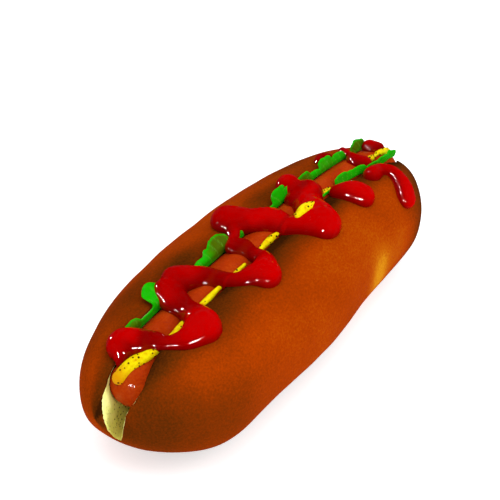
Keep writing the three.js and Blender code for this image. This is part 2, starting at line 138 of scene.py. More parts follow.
# Lobes of a leaf's edge: middle, half width, length (below 0 for a bite), lean from upright in degrees,
# and how dark its green is painted, partly a darker leaf and partly painted shade on lobes that lie in
# shadow.
LEFT_LOBES = [
    (-56.4, 3.8, 2.7, 70, 0.9), (-49.2, 2.6, -2.8, 74, 0.0),
    (-42.4, 2.9, 7.4, 74, 0.0), (-22.6, 3.6, 2.4, 60, 0.0),
    (-18.2, 3, 3.8, 60, 0.3), (-13.8, 4.6, 5.4, 58, 1.3),
    (-3.5, 3, 2.4, 50, 0.1), (18.8, 3.4, 5, 24, 0.0),
    (24.2, 2.6, 3.4, 18, 0.05), (32.6, 3.4, 3.3, 20, 0.9),
    (37.5, 3, 1.6, 30, 0.0), (44.8, 4, 3.6, 36, 0.45),
    (51.5, 3.4, 2.8, 26, 0.3), (63.8, 3.8, 4.6, 16, 0.9),
]
RIGHT_LOBES = [
    (30, 3, 1, 0, 0.0), (42.8, 4.4, 3.6, -28, 0.35),
    (46.8, 3, 2.8, -24, 0.1), (50.4, 4.6, 2.8, -22, 0.0),
    (58.6, 4, 2.4, 4, 0.5), (64.6, 4, 3.6, 4, 0.1),
    (69.6, 3.8, 4.4, 4, 0.0),
]

# Squeezed sauces: x and y over the crown, half-width, and rise above resting on it.
MUSTARD_NEAR = [
    (-70, -1.4, 2.1, -0.2), (-64.5, -2.5, 2.4, -0.2), (-59.5, -4.2, 1.7, -0.7), (-52, -5.9, 1.3, -1),
    (-46, -6, 1.6, -0.9), (-38, -5.2, 1.2, -0.8), (-33, -4.9, 1.2, -0.6), (-27, -4.5, 0.8, -0.2),
    (-20, -4.8, 1, 0), (-13.4, -4.3, 0.6, 0.3),
]
MUSTARD_MIDDLE = [
    (-6.6, -4.2, 0.5, 0.6), (-2.6, -3.5, 1, 0.7), (1.6, -3.1, 1.2, 0.7), (6, -3, 0.7, 0.7),
    (14, -2.5, 1.2, 0.6), (26, -1.4, 1.2, 0.6), (33, -1.4, 1, 0.3), (35.6, -1.4, 0.7, 0.1),
]
MUSTARD_DAB = [(12, -7.1, 1.3, 4.3), (15.6, -7.2, 2.4, 4.4), (19, -7.5, 1.3, 4.8)]
MUSTARD_END = [
    (60.4, -0.7, 1.3, 1.6), (64.2, 0, 0.7, 1.6), (67.3, 0.4, 1.4, 1.6), (70.8, 0.7, 1.8, 1.5),
    (74.5, 1.3, 1.2, 1.3),
]
KETCHUP_ZIGZAG = [
    [(-66.6, 1.4, 1.2, 0), (-64.3, 2.4, 2.6, 0), (-61.2, 4.6, 5.2, 0), (-55.6, -2.2, 3.8, 0),
     (-54.2, -7.4, 2.7, 0), (-50, -11.8, 3.9, 0), (-43.7, -12.9, 6.1, 0)],
    [(-42.4, -12, 5.4, 0), (-40.4, -4.2, 4, 0), (-39.4, 2.2, 4.8, 0), (-38.3, 6.5, 5.1, 0)],
    [(-33.4, 7.4, 5.3, 0), (-29.4, 5, 4.6, 0), (-25, 0.8, 4, 0), (-21.8, -7.4, 3, 0),
     (-17.8, -10.4, 3.8, 0), (-14.1, -13.2, 5.6, 0)],
    [(-14.1, -13.2, 5.6, 0), (-8.2, -8.2, 3, 0), (-8.1, -2.9, 2.8, 0.6), (-8, 1, 3.6, 1),
     (-9.6, 3.6, 3.3, 0.8)],
    [(-9.6, 3.6, 3.3, 0.8), (-6.9, 6.2, 2.3, 0.6), (-3.4, 9.6, 3, 0.6), (-2, 12.9, 5.8, 0)],
    [(-2, 12.9, 5.8, 0), (3, 7.5, 4.9, 0), (8.5, 2.2, 5.7, 0), (10.5, -4.9, 4.4, 0),
     (17.2, -12, 6.7, 0)],
    [(19.2, -8.8, 6.1, 0), (23.4, -0.6, 5.5, 0), (28.9, 2.7, 5.1, 0), (27.4, 6.2, 3.2, 0),
     (25.9, 9.2, 4.5, 0)],
    [(22.4, 3.2, 4.1, 0), (26, 3.4, 4.6, 0)],
]
KETCHUP_DROP = [[(35.2, -5.4, 3.4, 0), (37.5, -9.7, 4.8, 0), (38.6, -12.8, 4.7, 0)]]
KETCHUP_TAIL = [[(51.6, -7.8, 3.5, 0), (56.4, -7.6, 3, 0), (58.8, -10.8, 2.9, 0), (58, -15, 3.1, 0),
                 (56.6, -17.9, 3.5, 0), (54.4, -20.8, 3.6, 0)]]
KETCHUP_CURL = [[(56.2, 8.6, 1.8, 0.8), (56.6, 6, 1.4, 1), (54.8, 2.2, 3.1, 1.1), (57, -0.8, 2.8, 0.9)]]
KETCHUP_TIP = [[(66.4, 4.6, 3, 2.2), (69.6, 3, 2.4, 2.2)]]
KETCHUP_HOOK = [[(44.6, 11, 1.4, 0), (47.8, 11.8, 1.6, 0), (50.4, 10.4, 1.3, 0)]]

# How a sauce is drawn round its lines: voxel, how far its middle stands off the crust as a share of its
# half-width, and how much wider it is drawn, as smoothing takes that off again.
MUSTARD_BODY = (0.3, 0.0, 0.15)
KETCHUP_SETTLED = -0.04
KETCHUP_BODY = (0.4, KETCHUP_SETTLED, 0.12)
DROP_SPACING = 0.4
STROKE_STEPS = 12  # points from one row of a stroke to the next
SAUCE_GAP = 0.03  # between a sauce and what carries it
THIN_HALF = 3.9  # half-width up to which ketchup over the slit looks drawn out
THIN_FADE = 1.1
FULL_STAND = 4.5  # height over its carrier at which ketchup looks full; lower down, partly thinner and partly painted shade
FOLD_SHADES = [(-36, 6, 2, 5), (-40.5, 3, -6.5, 3.5)]  # where its folds shade it: x, spread, y, spread

SEED_SIZE = 0.33
SEED_SPACING = 0.8
SEED_DENSITY = 260000  # seeds on each square metre
SMALLEST_SEED = 0.55  # as shares of the seed size
LARGEST_SEED = 1.1

# How brown the crust is painted, from 0 for pale gold to 1 for nearly burnt, with painted shade in it.
# Each shade says how much it adds, and where it starts and is full: in degrees round from the left side over
# the crown, or as a height.
PLAIN_CRUST = 0.40
# painted shade where the lips turn down into the slit
RIGHT_LIP_SHADE = (0.42, 126, 98)
LEFT_LIP_SHADE = (0.30, 56, 80)
# painted shade on the left flank, turned away from the light
LEFT_FLANK_SHADE = (0.03, 80, 50)
# painted shade low on the foot, darkest at the table
FOOT_SHADE = (0.55, 13, 1)
FOOT_HIGHLIGHT = (33, 12)  # where the foot's painted shade is left out, under the painted highlight low on the right: place, spread

# Where the crust is painted browner or paler than that, mostly as painted shade and once as a painted
# highlight:
# x, degrees round, spread along, spread round, how much.
SCORCHES_AND_SHADES = [
    (-38, 56, 15, 13, 0.24), (40, 52, 20, 12, 0.22),  # darker patches on the left flank
    (-80, 175, 24, 60, 0.42), (-50, 172, 12, 34, 0.17), (-64, 106, 14, 16, 0.08),  # near end, right: darker, partly a browner end and partly painted shade
    (-12, 98, 7, 6, 0.35), (29, 100, 6, 8, 0.4), (-24, 99, 6, 5, 0.5), (2, 97, 10, 5, 0.45),  # painted shade in the hollows along the right lip
    (-27, 68, 9, 9, 0.25), (16, 66, 8, 8, 0.2),  # painted shade along the left lip
    (33, 188, 6, 24, -0.42), (48, 178, 10, 20, -0.10),  # painted highlight, paler low on the right flank
    (72, 150, 14, 60, 0.42),  # far end: darker, partly a browner end and partly painted shade at its rim
    (-60, 40, 20, 34, 0.16), (-74, 112, 12, 30, 0.15),  # near end, left and top: painted shade
    (-36, 118, 16, 16, 0.16), (-8, 112, 8, 12, 0.1),  # painted shade beside the right lip
    (54, 84, 10, 14, 0.2), (66, 195, 14, 40, 0.3),  # far end, top and low on the right: painted shade
]

# ------ the roll's form


def signed_power(value, power):
    return np.sign(value) * np.abs(value) ** power


def bell(x, at, spread):
    return np.exp(-(((x - at) / spread) ** 2))


def ease(value):
    t = np.clip(value, 0, 1)
    return t * t * (3 - 2 * t)


def unit(vectors):
    """Vectors brought to a length of 1."""
    return vectors / np.maximum(np.linalg.norm(vectors, axis=-1, keepdims=True), 1e-6)


def swellings(x, rows):
    """Smooth swellings along the roll, each given as its place, size and spread."""
    return sum(size * bell(x, at, spread) for at, size, spread in rows)


def roll_half_width(x, left):
    u = np.minimum(np.abs(x) / HALF_LENGTH, 1)
    near = np.where(left, NEAR_LEFT_POWER, NEAR_RIGHT_POWER)
    far = np.where(left, FAR_LEFT_POWER, FAR_RIGHT_POWER)
    taper = np.sqrt(np.clip(1 - u ** np.where(x < 0, near, far), 0, 1))
    return (HALF_WIDTH + np.where(left, 0, swellings(x, SWELLS))) * taper


def roll_rise(x):
    u = np.minimum(np.abs(x) / HALF_LENGTH, 1)
    return np.sqrt(np.clip(1 - u**HEIGHT_POWER, 0, 1))


def roll_skin(x, angle):
    """Points of the uncut roll's skin: x along it, and the angle from its left side over the crown."""
    c, s = np.cos(angle), np.sin(angle)
    upper = s >= 0
    power = 2 / np.where(upper, TOP_POWER, BOTTOM_POWER)
    y = roll_half_width(x, c >= 0) * signed_power(c, power)
    reach = np.where(upper, CROWN - WAIST, WAIST * UNDERSIDE) * roll_rise(x)
    z = WAIST + reach * signed_power(s, power)
    z -= np.where(upper, LIP_DROP * roll_rise(x) * bell(y, 0, LIP_SPREAD) * np.sqrt(np.abs(s)), 0)
    return np.stack([x + 0 * z, y, np.maximum(z, 0)], -1)


def crown_height(x, y):
    """Height of the uncut crown over x and y, found by halving the angle between side and side."""
    x, y = np.broadcast_arrays(np.asarray(x, float), np.asarray(y, float))
    low, high = np.zeros(x.shape), np.full(x.shape, math.pi)
    for _ in range(30):
        middle = (low + high) / 2
        beyond = roll_skin(x, middle)[..., 1] > y
        low, high = np.where(beyond, middle, low), np.where(beyond, high, middle)
    return roll_skin(x, (low + high) / 2)[..., 2]


def crown_normal(x, y):
    step = 0.5
    slope_x = (crown_height(x + step, y) - crown_height(x - step, y)) / (2 * step)
    slope_y = (crown_height(x, y + step) - crown_height(x, y - step)) / (2 * step)
    return unit(np.stack([-slope_x, -slope_y, np.ones_like(slope_x)], -1))


def cross_section(x, y, upper):
    """The roll's half-width and reach from its waist at points, and the power of its superellipse there."""
    rise = np.maximum(roll_rise(x), 1e-6)
    across = np.maximum(roll_half_width(x, y >= 0), 1e-6)
    reach = np.where(upper, CROWN - WAIST, WAIST * UNDERSIDE) * rise
    return across, reach, np.where(upper, TOP_POWER, BOTTOM_POWER)


def skin_depth(points):
    """How far points lie inside the uncut roll."""
    x, y, z = points.T
    upper = z > WAIST
    across, reach, power = cross_section(x, y, upper)
    rise = np.maximum(roll_rise(x), 1e-6)
    lifted = z + np.where(upper, LIP_DROP * rise * bell(y, 0, LIP_SPREAD), 0)
    share = (np.abs(y / across) ** power + np.abs((lifted - WAIST) / reach) ** power) ** (1 / power)
    return (1 - share) * np.minimum(across, reach)


def turn_of(points):
    """Where points lie round the roll, in degrees: 0 on the left side, 90 on the crown, 180 on the right."""
    x, y, z = points.T
    across, reach, power = cross_section(x, y, z > WAIST)
    sideways = signed_power(y / across, power / 2)
    upward = signed_power((z - WAIST) / reach, power / 2)
    turn = np.degrees(np.arctan2(upward, sideways))
    return np.where(turn < -90, turn + 360, turn)


def far_share(x):
    """How much of the change from the near end's slit to the far end's is done."""
    return ease((np.asarray(x, float) - SLIT_CHANGE_START) / SLIT_CHANGE_LENGTH)


def slit_half(x):
    return SLIT_NEAR_HALF + (SLIT_FAR_HALF - SLIT_NEAR_HALF) * far_share(x)


def slit_middle(x):
    veer = SLIT_VEER * (np.maximum(SLIT_VEER_START - x, 0) / SLIT_VEER_LENGTH) ** 3
    return veer + swellings(x, SLIT_SWAYS) + SLIT_DRIFT * far_share(x)


def slit_wall(x, z, side):
    """How far a wall of the slit stands from its middle at a height: the left for side 1, right for -1."""
    if side > 0:
        shoulder, power, closings = LEFT_SHOULDER, LEFT_WALL_POWER, LEFT_CLOSINGS
    else:
        shoulder, power, closings = RIGHT_SHOULDER, RIGHT_WALL_POWER, RIGHT_CLOSINGS
    up = np.clip((z - CREASE) / (shoulder - CREASE), 0, 1)
    return (slit_half(x) - swellings(x, closings)) * up**power


def lip_height(x, side):
    z = CROWN
    for _ in range(8):
        z = crown_height(x, slit_middle(x) + side * slit_wall(x, z, side))
    return z


def sausage_middle(x):
    return slit_middle(x) + NOSE_TURN * ease((NOSE_TURN_START - x) / NOSE_TURN_LENGTH)


def sausage_height(x):
    share = np.abs(x) / SAUSAGE_REACH
    droop = np.where(x < 0, NEAR_DROOP * share**NEAR_DROOP_POWER, FAR_DROOP * share**FAR_DROOP_POWER)
    return SAUSAGE_HEIGHT - droop


def sausage_radius(x):
    from_end = np.clip(np.minimum((x - SAUSAGE_START) / NEAR_NOSE, (SAUSAGE_END - x) / FAR_NOSE), 0, 1)
    return SAUSAGE_RADIUS * np.sqrt(1 - (1 - from_end) ** 2)


# ------ mesh making


def stations(start, end, count):
    """Places from one end to the other, closer together where the ends are round."""
    steps = np.arange(1, count + 1) / (count + 1)
    return (start + end) / 2 - (end - start) / 2 * np.cos(math.pi * steps)


def loft(name, rings, first_tip, last_tip):
    """One closed skin over rings of equal count, with a fan at each end."""
    count, around = rings.shape[:2]
    points = np.concatenate([rings.reshape(-1, 3), [first_tip, last_tip]])
    faces = []
    for r in range(count - 1):
        for k in range(around):
            a, b = r * around + k, r * around + (k + 1) % around
            faces.append((a, b, b + around, a + around))
    first, last, last_ring = len(points) - 2, len(points) - 1, (count - 1) * around
    for k in range(around):
        faces.append((first, (k + 1) % around, k))
        faces.append((last, last_ring + k, last_ring + (k + 1) % around))
    return new_piece(name, points, faces)


def put(name, data):
    """Adds an object with these data to the scene."""
    thing = bpy.data.objects.new(name, data)
    bpy.context.scene.collection.objects.link(thing)
    return thing


def new_piece(name, points, faces, edges=()):
    mesh = bpy.data.meshes.new(name)
    mesh.from_pydata((np.asarray(points) * MM).tolist(), list(edges), list(faces))
    mesh.update()
    if faces:
        form = bmesh.new()
        form.from_mesh(mesh)
        bmesh.ops.recalc_face_normals(form, faces=form.faces)
        form.to_mesh(mesh)
        form.free()
    return put(name, mesh)


def even_out(piece, rounds):
    """Smooths a piece's skin when its modifiers are settled."""
    even = piece.modifiers.new("even", "SMOOTH")
    even.factor = 0.5
    even.iterations = rounds


def settle(piece):
    """Turns what the modifiers make into the piece's own plain mesh."""
    depsgraph = bpy.context.evaluated_depsgraph_get()
    made = bpy.data.meshes.new_from_object(piece.evaluated_get(depsgraph))
    piece.modifiers.clear()
    piece.data = made
    made.name = piece.name
    made.shade_smooth()
    return piece


def points_of(piece):
    flat = np.empty(len(piece.data.vertices) * 3)
    piece.data.vertices.foreach_get("co", flat)
    return flat.reshape(-1, 3) / MM


def move_points(piece, points):
    piece.data.vertices.foreach_set("co", (points * MM).ravel())
    piece.data.update()


def paint(piece, name, values):
    """Stores one number a point, for the piece's material or nodes to read."""
    attribute = piece.data.attributes.new(name, "FLOAT", "POINT")
    attribute.data.foreach_set("value", np.asarray(values, np.float32).ravel())


def ripple(points, wavelength, seed):
    """A smooth unevenness of mostly -1 to 1: plane waves of about one length in mixed directions."""
    rng = np.random.default_rng(seed)
    total = np.zeros(len(points))
    for _ in range(9):
        direction = rng.normal(size=3)
        direction *= 2 * math.pi / (wavelength * rng.uniform(0.7, 1.5) * np.linalg.norm(direction))
        total += np.sin(points @ direction + rng.uniform(0, 2 * math.pi))
    return total / 4


def unevenness(points, ripples):
    return sum(size * ripple(points, wavelength, seed) for size, wavelength, seed in ripples)


# ------ nodes


def add_node(tree, kind, inputs=None, **settings):
    """Adds a node, sets it up, and gives its sockets their values or links."""
    node = tree.nodes.new(kind)
    for key, value in settings.items():
        setattr(node, key, value)
    for key, value in (inputs or {}).items():
        if isinstance(value, bpy.types.NodeSocket):
            tree.links.new(value, node.inputs[key])
        else:
            node.inputs[key].default_value = value
    return node


def linear(hex_colour):
    """An sRGB hex colour as linear red, green, blue and alpha."""
    parts = [int(hex_colour[i:i + 2], 16) / 255 for i in (1, 3, 5)]
    return [p / 12.92 if p <= 0.04045 else ((p + 0.055) / 1.055) ** 2.4 for p in parts] + [1.0]


def new_finish(name, values):
    """A new material with its main shader, and the object coordinates that its patterns read."""
    finish = bpy.data.materials.new(name)
    finish.use_nodes = True
    tree = finish.node_tree
    tree.nodes.clear()
    shader = add_node(tree, "ShaderNodeBsdfPrincipled", values)
    add_node(tree, "ShaderNodeOutputMaterial", {"Surface": shader.outputs["BSDF"]})
    place = add_node(tree, "ShaderNodeTexCoord").outputs["Object"]
    return finish, tree, shader, place


def grain(tree, place, size, detail=3.0):
    """Noise whose largest lumps are about size millimetres."""
    noise = add_node(tree, "ShaderNodeTexNoise",
                     {"Vector": place, "Scale": 1 / (size * MM), "Detail": detail, "Roughness": 0.55})
    return noise.outputs["Fac"]


def ramp(tree, value, stops):
    """Colours along a value, as (place, hex) pairs."""
    node = add_node(tree, "ShaderNodeValToRGB", {"Fac": value})
    band = node.color_ramp
    while len(band.elements) < len(stops):
        band.elements.new(1.0)
    for element, (at, colour) in zip(band.elements, stops):
        element.position = at
        element.color = linear(colour)
    return node.outputs["Color"]


def maths(tree, operation, *values):
    node = add_node(tree, "ShaderNodeMath", dict(enumerate(values)), operation=operation)
    return node.outputs["Value"]


def swing(tree, value, much):
    """A value that lies about 0.5, as a swing of up to half of much to either side of 0."""
    return maths(tree, "MULTIPLY", maths(tree, "SUBTRACT", value, 0.5), much)


def between(tree, value, low, high, at_low=0.0, at_high=1.0):
    """Runs from at_low to at_high while the value runs from low to high."""
    node = add_node(tree, "ShaderNodeMapRange",
                    {"Value": value, "From Min": low, "From Max": high, "To Min": at_low, "To Max": at_high})
    return node.outputs["Result"]


def mix(tree, share, first, second, blend="MIX"):
    """Mixes two colours. The node has the colours' sockets at 6 and 7, and their result at 2."""
    node = add_node(tree, "ShaderNodeMix", {0: share, 6: first, 7: second},
                    data_type="RGBA", blend_type=blend)
    return node.outputs[2]


def stored(tree, name):
    return add_node(tree, "ShaderNodeAttribute", attribute_name=name).outputs["Fac"]


def along(tree, place, axis):
    return add_node(tree, "ShaderNodeSeparateXYZ", {"Vector": place}).outputs[axis]


def set_colour(tree, shader, colour):
    tree.links.new(colour, shader.inputs["Base Color"])


def raised(tree, least, pattern, much):
    """A value that rises from the least by a share of a pattern."""
    return maths(tree, "ADD", least, maths(tree, "MULTIPLY", pattern, much))


def set_roughness(tree, shader, rough):
    tree.links.new(rough, shader.inputs["Roughness"])


def relief(tree, shader, height, depth):
    """Bump of about depth millimetres on the main shader."""
    bump = add_node(tree, "ShaderNodeBump", {"Height": height, "Distance": depth * MM})
    tree.links.new(bump.outputs["Normal"], shader.inputs["Normal"])


def wet_patches(tree, shader, place, size, dry, wet):
    """Lets the surface mirror the lamps only where it is wettest, in patches of about size millimetres."""
    patch = between(tree, grain(tree, place, size, 2), 0.46, 0.48, dry, wet)
    tree.links.new(patch, shader.inputs["Specular IOR Level"])


# ------ materials


def baked_bread():
    """Soft white roll: egg-washed crust baked brown and satin, and pale open crumb where the knife went.
    The crust's brown holds painted shade and a painted highlight, and the crumb painted shade low in the
    cut.
    """
    finish, tree, shader, place = new_finish("baked_bread", {"IOR": 1.45, "Specular IOR Level": 0.002})
    blotch = grain(tree, place, 22, 4)
    speck = grain(tree, place, 0.7, 2)
    # the stored level is the crust's browning with its painted shade and painted highlight
    level = maths(tree, "ADD", stored(tree, "bake_and_shade"), swing(tree, blotch, 0.30))
    level = maths(tree, "ADD", level, swing(tree, speck, 0.34))
    crust = ramp(tree, level, [(0.0, "#D08A12"), (0.2, "#B85A05"), (0.4, "#A63A01"), (0.6, "#812F02"),
                               (0.8, "#5C2804"), (1.0, "#361804")])
    cells = add_node(tree, "ShaderNodeTexVoronoi", {"Vector": place, "Scale": 1 / (1.1 * MM)})
    pores = cells.outputs["Distance"]
    pore = ramp(tree, pores, [(0.14, "#5A4A18"), (0.34, "#FFFFFF")])
    crumb = ramp(tree, grain(tree, place, 3, 4), [(0.35, "#F6FF96"), (0.6, "#FCFFA6")])
    low = between(tree, along(tree, place, "Z"), 0.028, 0.021)  # painted shade low in the cut: the crumb darker and more pitted towards the crease
    crumb = mix(tree, low, crumb, linear("#E2D2AE"), "MULTIPLY")
    crumb = mix(tree, maths(tree, "MULTIPLY", low, 0.9), crumb, pore, "MULTIPLY")
    cut = maths(tree, "ADD", stored(tree, "crumb"), swing(tree, grain(tree, place, 1.2), 0.5))
    cut = maths(tree, "GREATER_THAN", cut, 0.5)
    set_colour(tree, shader, mix(tree, cut, crust, crumb))
    set_roughness(tree, shader, raised(tree, raised(tree, 0.55, speck, 0.14), cut, 0.4))
    pits = maths(tree, "MULTIPLY", maths(tree, "MULTIPLY", cut, -1.4), maths(tree, "LESS_THAN", pores, 0.3))
    grit = maths(tree, "ADD", speck, grain(tree, place, 4))
    relief(tree, shader, maths(tree, "ADD", grit, pits), 0.12)
    return finish


def sausage_skin():
    """Smoked frankfurter in its casing: tight, moist and smooth, with faint mottling from the smoke."""
    finish, tree, shader, place = new_finish(
        "smoked_casing", {"IOR": 1.42, "Subsurface Weight": 0.06,
                          "Subsurface Radius": (0.004, 0.0012, 0.0006)})
    tone = maths(tree, "ADD", maths(tree, "MULTIPLY", grain(tree, place, 9, 4), 0.6),
                 maths(tree, "MULTIPLY", grain(tree, place, 0.8, 2), 0.4))
    set_colour(tree, shader, ramp(tree, tone, [(0.3, "#9C2804"), (0.5, "#B03507"), (0.7, "#C04610")]))
    set_roughness(tree, shader, raised(tree, 0.06, grain(tree, place, 3), 0.08))
    wet_patches(tree, shader, place, 2.6, 0.0, 0.1)
    relief(tree, shader, grain(tree, place, 1.1, 3), 0.05)
    return finish


def lettuce_leaf():
    """Fresh lettuce: thin crisp leaf, bright at its edge and along its ribs, olive in some lobes, partly a
    darker leaf and partly painted shade.
    """
    finish, tree, shader, place = new_finish(
        "fresh_lettuce", {"IOR": 1.4, "Roughness": 0.22, "Subsurface Weight": 0.12,
                          "Subsurface Radius": (0.0006, 0.002, 0.0003)})
    rib = stored(tree, "rib")
    dark_green_and_shade = maths(tree, "ADD", stored(tree, "dark_green_and_shade"), swing(tree, grain(tree, place, 4, 3), 0.35))
    green = ramp(tree, dark_green_and_shade, [(0.0, "#1BB803"), (0.3, "#23A604"), (0.6, "#428602"), (0.95, "#4C6802")])
    set_colour(tree, shader, mix(tree, maths(tree, "MULTIPLY", rib, 0.45), green, linear("#7BD63A")))
    wet_patches(tree, shader, place, 2.4, 0.01, 0.12)
    blisters = maths(tree, "MULTIPLY", grain(tree, place, 1.6, 3), 0.6)
    relief(tree, shader, maths(tree, "SUBTRACT", blisters, rib), 0.25)
    return finish


def grain_mustard():
    """Coarse mustard: a wet yellow paste, amber where the ground hulls gather and at its first end."""
    finish, tree, shader, place = new_finish(
        "grain_mustard", {"IOR": 1.42, "Specular IOR Level": 0.06, "Subsurface Weight": 0.1,
                          "Subsurface Radius": (0.002, 0.0014, 0.0004)})
    tone = grain(tree, place, 1.4, 3)
    paste = ramp(tree, tone, [(0.3, "#D89A00"), (0.42, "#EBCB00"), (0.6, "#F8E804")])
    first_end = between(tree, along(tree, place, "X"), -0.066, -0.071)
    set_colour(tree, shader, mix(tree, first_end, paste, linear("#E09A00")))
    set_roughness(tree, shader, raised(tree, 0.3, tone, 0.2))
    relief(tree, shader, grain(tree, place, 0.9, 3), 0.12)
    return finish


def seed_hull():
    """Brown mustard seed: a hard dark hull, wet with the paste."""
    finish, tree, shader, place = new_finish(
        "brown_seed_hull", {"IOR": 1.5, "Specular IOR Level": 0.08, "Roughness": 0.35})
    set_colour(tree, shader, ramp(tree, grain(tree, place, 0.5), [(0.3, "#2E1604"), (0.7, "#6B3A0A")]))
    return finish


def tomato_ketchup():
    """Ketchup: smooth wet sauce that mirrors the lamps, bright red where it stands high, darker where drawn
    out thin, with painted shade at its low edges, in its folds and on its left side.
    """
    finish, tree, shader, place = new_finish(
        "tomato_ketchup", {"IOR": 1.4, "Subsurface Weight": 0.05,
                           "Subsurface Radius": (0.003, 0.0002, 0.0001)})
    tone = maths(tree, "ADD", stored(tree, "thickness_and_shade"), swing(tree, grain(tree, place, 5, 3), 0.12))
    set_colour(tree, shader, ramp(tree, tone, [(0.0, "#8C2004"), (0.06, "#8A1000"), (0.14, "#840000"),
                                               (0.4, "#920000"), (1.0, "#BC0000")]))
    set_roughness(tree, shader, raised(tree, 0.02, grain(tree, place, 2), 0.02))
    wet_patches(tree, shader, place, 1.7, 0.0, 0.3)
    relief(tree, shader, grain(tree, place, 4, 1), 0.1)
    return finish


# ------ roll and sausage


def slit_knife():
    """What the knife took out: walls with a torn surface above, closing in a V down to the crease."""
    count, levels = KNIFE_MESH
    xs = np.linspace(-HALF_LENGTH - KNIFE_OVERHANG, HALF_LENGTH + KNIFE_OVERHANG, count)
    heights = np.linspace(CREASE, CROWN + KNIFE_OVERHANG, levels)[1:]
    held = np.maximum(xs, -HALF_LENGTH)
    rings = []
    for x, at in zip(xs, held):
        left = [(slit_wall(at, z, 1), z) for z in heights]
        right = [(-slit_wall(at, z, -1), z) for z in heights[::-1]]
        rings.append([(x, slit_middle(at) + y, z) for y, z in [(0, CREASE), *left, *right]])
    rings = np.array(rings)
    torn = unevenness(rings.reshape(-1, 3), TORN_RIPPLES).reshape(rings.shape[:2])
    rings[..., 1] += torn * (rings[..., 2] > CREASE + TORN_START)
    return loft("slit_knife", rings, rings[0].mean(0), rings[-1].mean(0))


def sausage_rings(grow, mesh):
    count, around = mesh
    xs = stations(SAUSAGE_START, SAUSAGE_END, count)
    angle = np.linspace(0, 2 * math.pi, around, endpoint=False)
    radius = (sausage_radius(xs) + grow)[:, None]
    y = sausage_middle(xs)[:, None] + radius * np.cos(angle)
    z = sausage_height(xs)[:, None] + radius * np.sin(angle)
    return np.stack([xs[:, None] + 0 * y, y, z], -1)


def sausage_tip(x, grow):
    return (x + math.copysign(grow, x), sausage_middle(x), sausage_height(x))


def sausage_loft(name, rings, grow):
    return loft(name, rings, sausage_tip(SAUSAGE_START, grow), sausage_tip(SAUSAGE_END, grow))


def make_sausage():
    rings = sausage_rings(0, SAUSAGE_MESH)
    uneven = unevenness(rings.reshape(-1, 3), CASING_RIPPLES).reshape(rings.shape[:2])[..., None]
    rings += unit(rings - rings.mean(1, keepdims=True)) * (uneven - CASING_TRIM)
    piece = sausage_loft("frankfurter", rings, 0)
    piece.data.shade_smooth()
    return piece


def shade_ramp(value, shade_row):
    """What a painted shade adds where the value lies between its start and where it is full."""
    much, start, full = shade_row
    return much * ease((value - start) / (full - start))


def bake_and_shade_level(points):
    """How brown the crust is painted at points on it: its browning, with painted shade along the lips, on
    the left flank, at the foot and the ends, and a painted highlight low on the right flank.
    """
    x, z = points[:, 0], points[:, 2]
    turn = turn_of(points)
    level = np.full(len(points), PLAIN_CRUST)
    level += np.where(turn > 90, shade_ramp(turn, RIGHT_LIP_SHADE), shade_ramp(turn, LEFT_LIP_SHADE))
    level += shade_ramp(turn, LEFT_FLANK_SHADE)
    for at, turned, long, wide, much in SCORCHES_AND_SHADES:
        level += much * bell(x, at, long) * bell(turn, turned, wide)
    level += shade_ramp(z, FOOT_SHADE) * (1 - bell(x, *FOOT_HIGHLIGHT))
    return np.clip(level, 0, 1)


def make_roll():
    count, around = ROLL_MESH
    xs = stations(-HALF_LENGTH, HALF_LENGTH, count)
    angle = np.linspace(0, 2 * math.pi, around, endpoint=False)
    rings = roll_skin(xs[:, None], angle[None, :])
    flat = rings.reshape(-1, 3)
    uneven = unevenness(flat, CRUST_RIPPLES) - FLANK_TRIM * ease(flat[:, 1] / FLANK_TRIM_LENGTH)
    centre = np.stack([flat[:, 0], 0 * flat[:, 0], 0 * flat[:, 0] + WAIST], -1)
    flat = flat + unit(flat - centre) * (uneven * ease(flat[:, 2] / 6))[:, None]
    piece = loft("roll", flat.reshape(rings.shape), (-HALF_LENGTH, 0, WAIST), (HALF_LENGTH, 0, WAIST))
    knife = slit_knife()
    pocket = sausage_loft("pocket", sausage_rings(POCKET_GAP, POCKET_MESH), POCKET_GAP)
    for tool in (knife, pocket):
        cut = piece.modifiers.new(tool.name, "BOOLEAN")
        cut.object = tool
        cut.operation = "DIFFERENCE"
        cut.solver = "EXACT"
    soften = piece.modifiers.new("soften", "REMESH")
    soften.mode = "VOXEL"
    soften.voxel_size = ROLL_VOXEL * MM
    even_out(piece, ROLL_SMOOTHING)
    settle(piece)
    for tool in (knife, pocket):
        bpy.data.objects.remove(tool)
    points = points_of(piece)
    points[:, 2] = np.maximum(points[:, 2], 0)
    move_points(piece, points)
    paint(piece, "crumb", ease((skin_depth(points) - CRUST_DEPTH) / CRUMB_FADE))
    paint(piece, "bake_and_shade", bake_and_shade_level(points))
    return piece


# ------ lettuce


def leaf_edge(lobes, rest, xs):
    """Along xs: how far the leaf stands out beyond the lip, its lean, how dark its green is painted, partly
    as painted shade, and its fan.
    """
    reach = np.full(len(xs), rest)
    weight, lean, dark_green_and_shade, fan = (np.full(len(xs), 1e-4) for _ in range(4))
    for at, half, length, degrees, dark in lobes:
        dome = np.clip(1 - np.abs((xs - at) / half) ** LOBE_POWER, 0, 1) ** 0.5
        reach = np.maximum(reach, length * dome) if length > 0 else reach + length * dome
        share = bell(xs, at, half * 0.9)
        weight += share
        lean += share * degrees
        dark_green_and_shade += share * dark
        fan += share * np.clip((xs - at) / half, -1, 1)
    step = xs[1] - xs[0]
    kernel = bell(np.arange(-EDGE_BLUR_STEPS, EDGE_BLUR_STEPS + 1) * step, 0, EDGE_BLUR)
    reach = np.convolve(np.pad(reach, EDGE_BLUR_STEPS, "edge"), kernel / kernel.sum(), "valid")
    lobed = np.minimum(reach / 4, 1)
    reach = reach + lobed * (0.08 * np.sin(xs * 2.6) + 0.05 * np.sin(xs * 4.1 + 2))
    lean = np.radians(lean / weight + lobed * (5 * np.sin(xs * 0.9) + 3 * np.sin(xs * 1.7 + 1)))
    return reach, lean, dark_green_and_shade / weight, np.radians(LEAF_FAN) * fan / weight


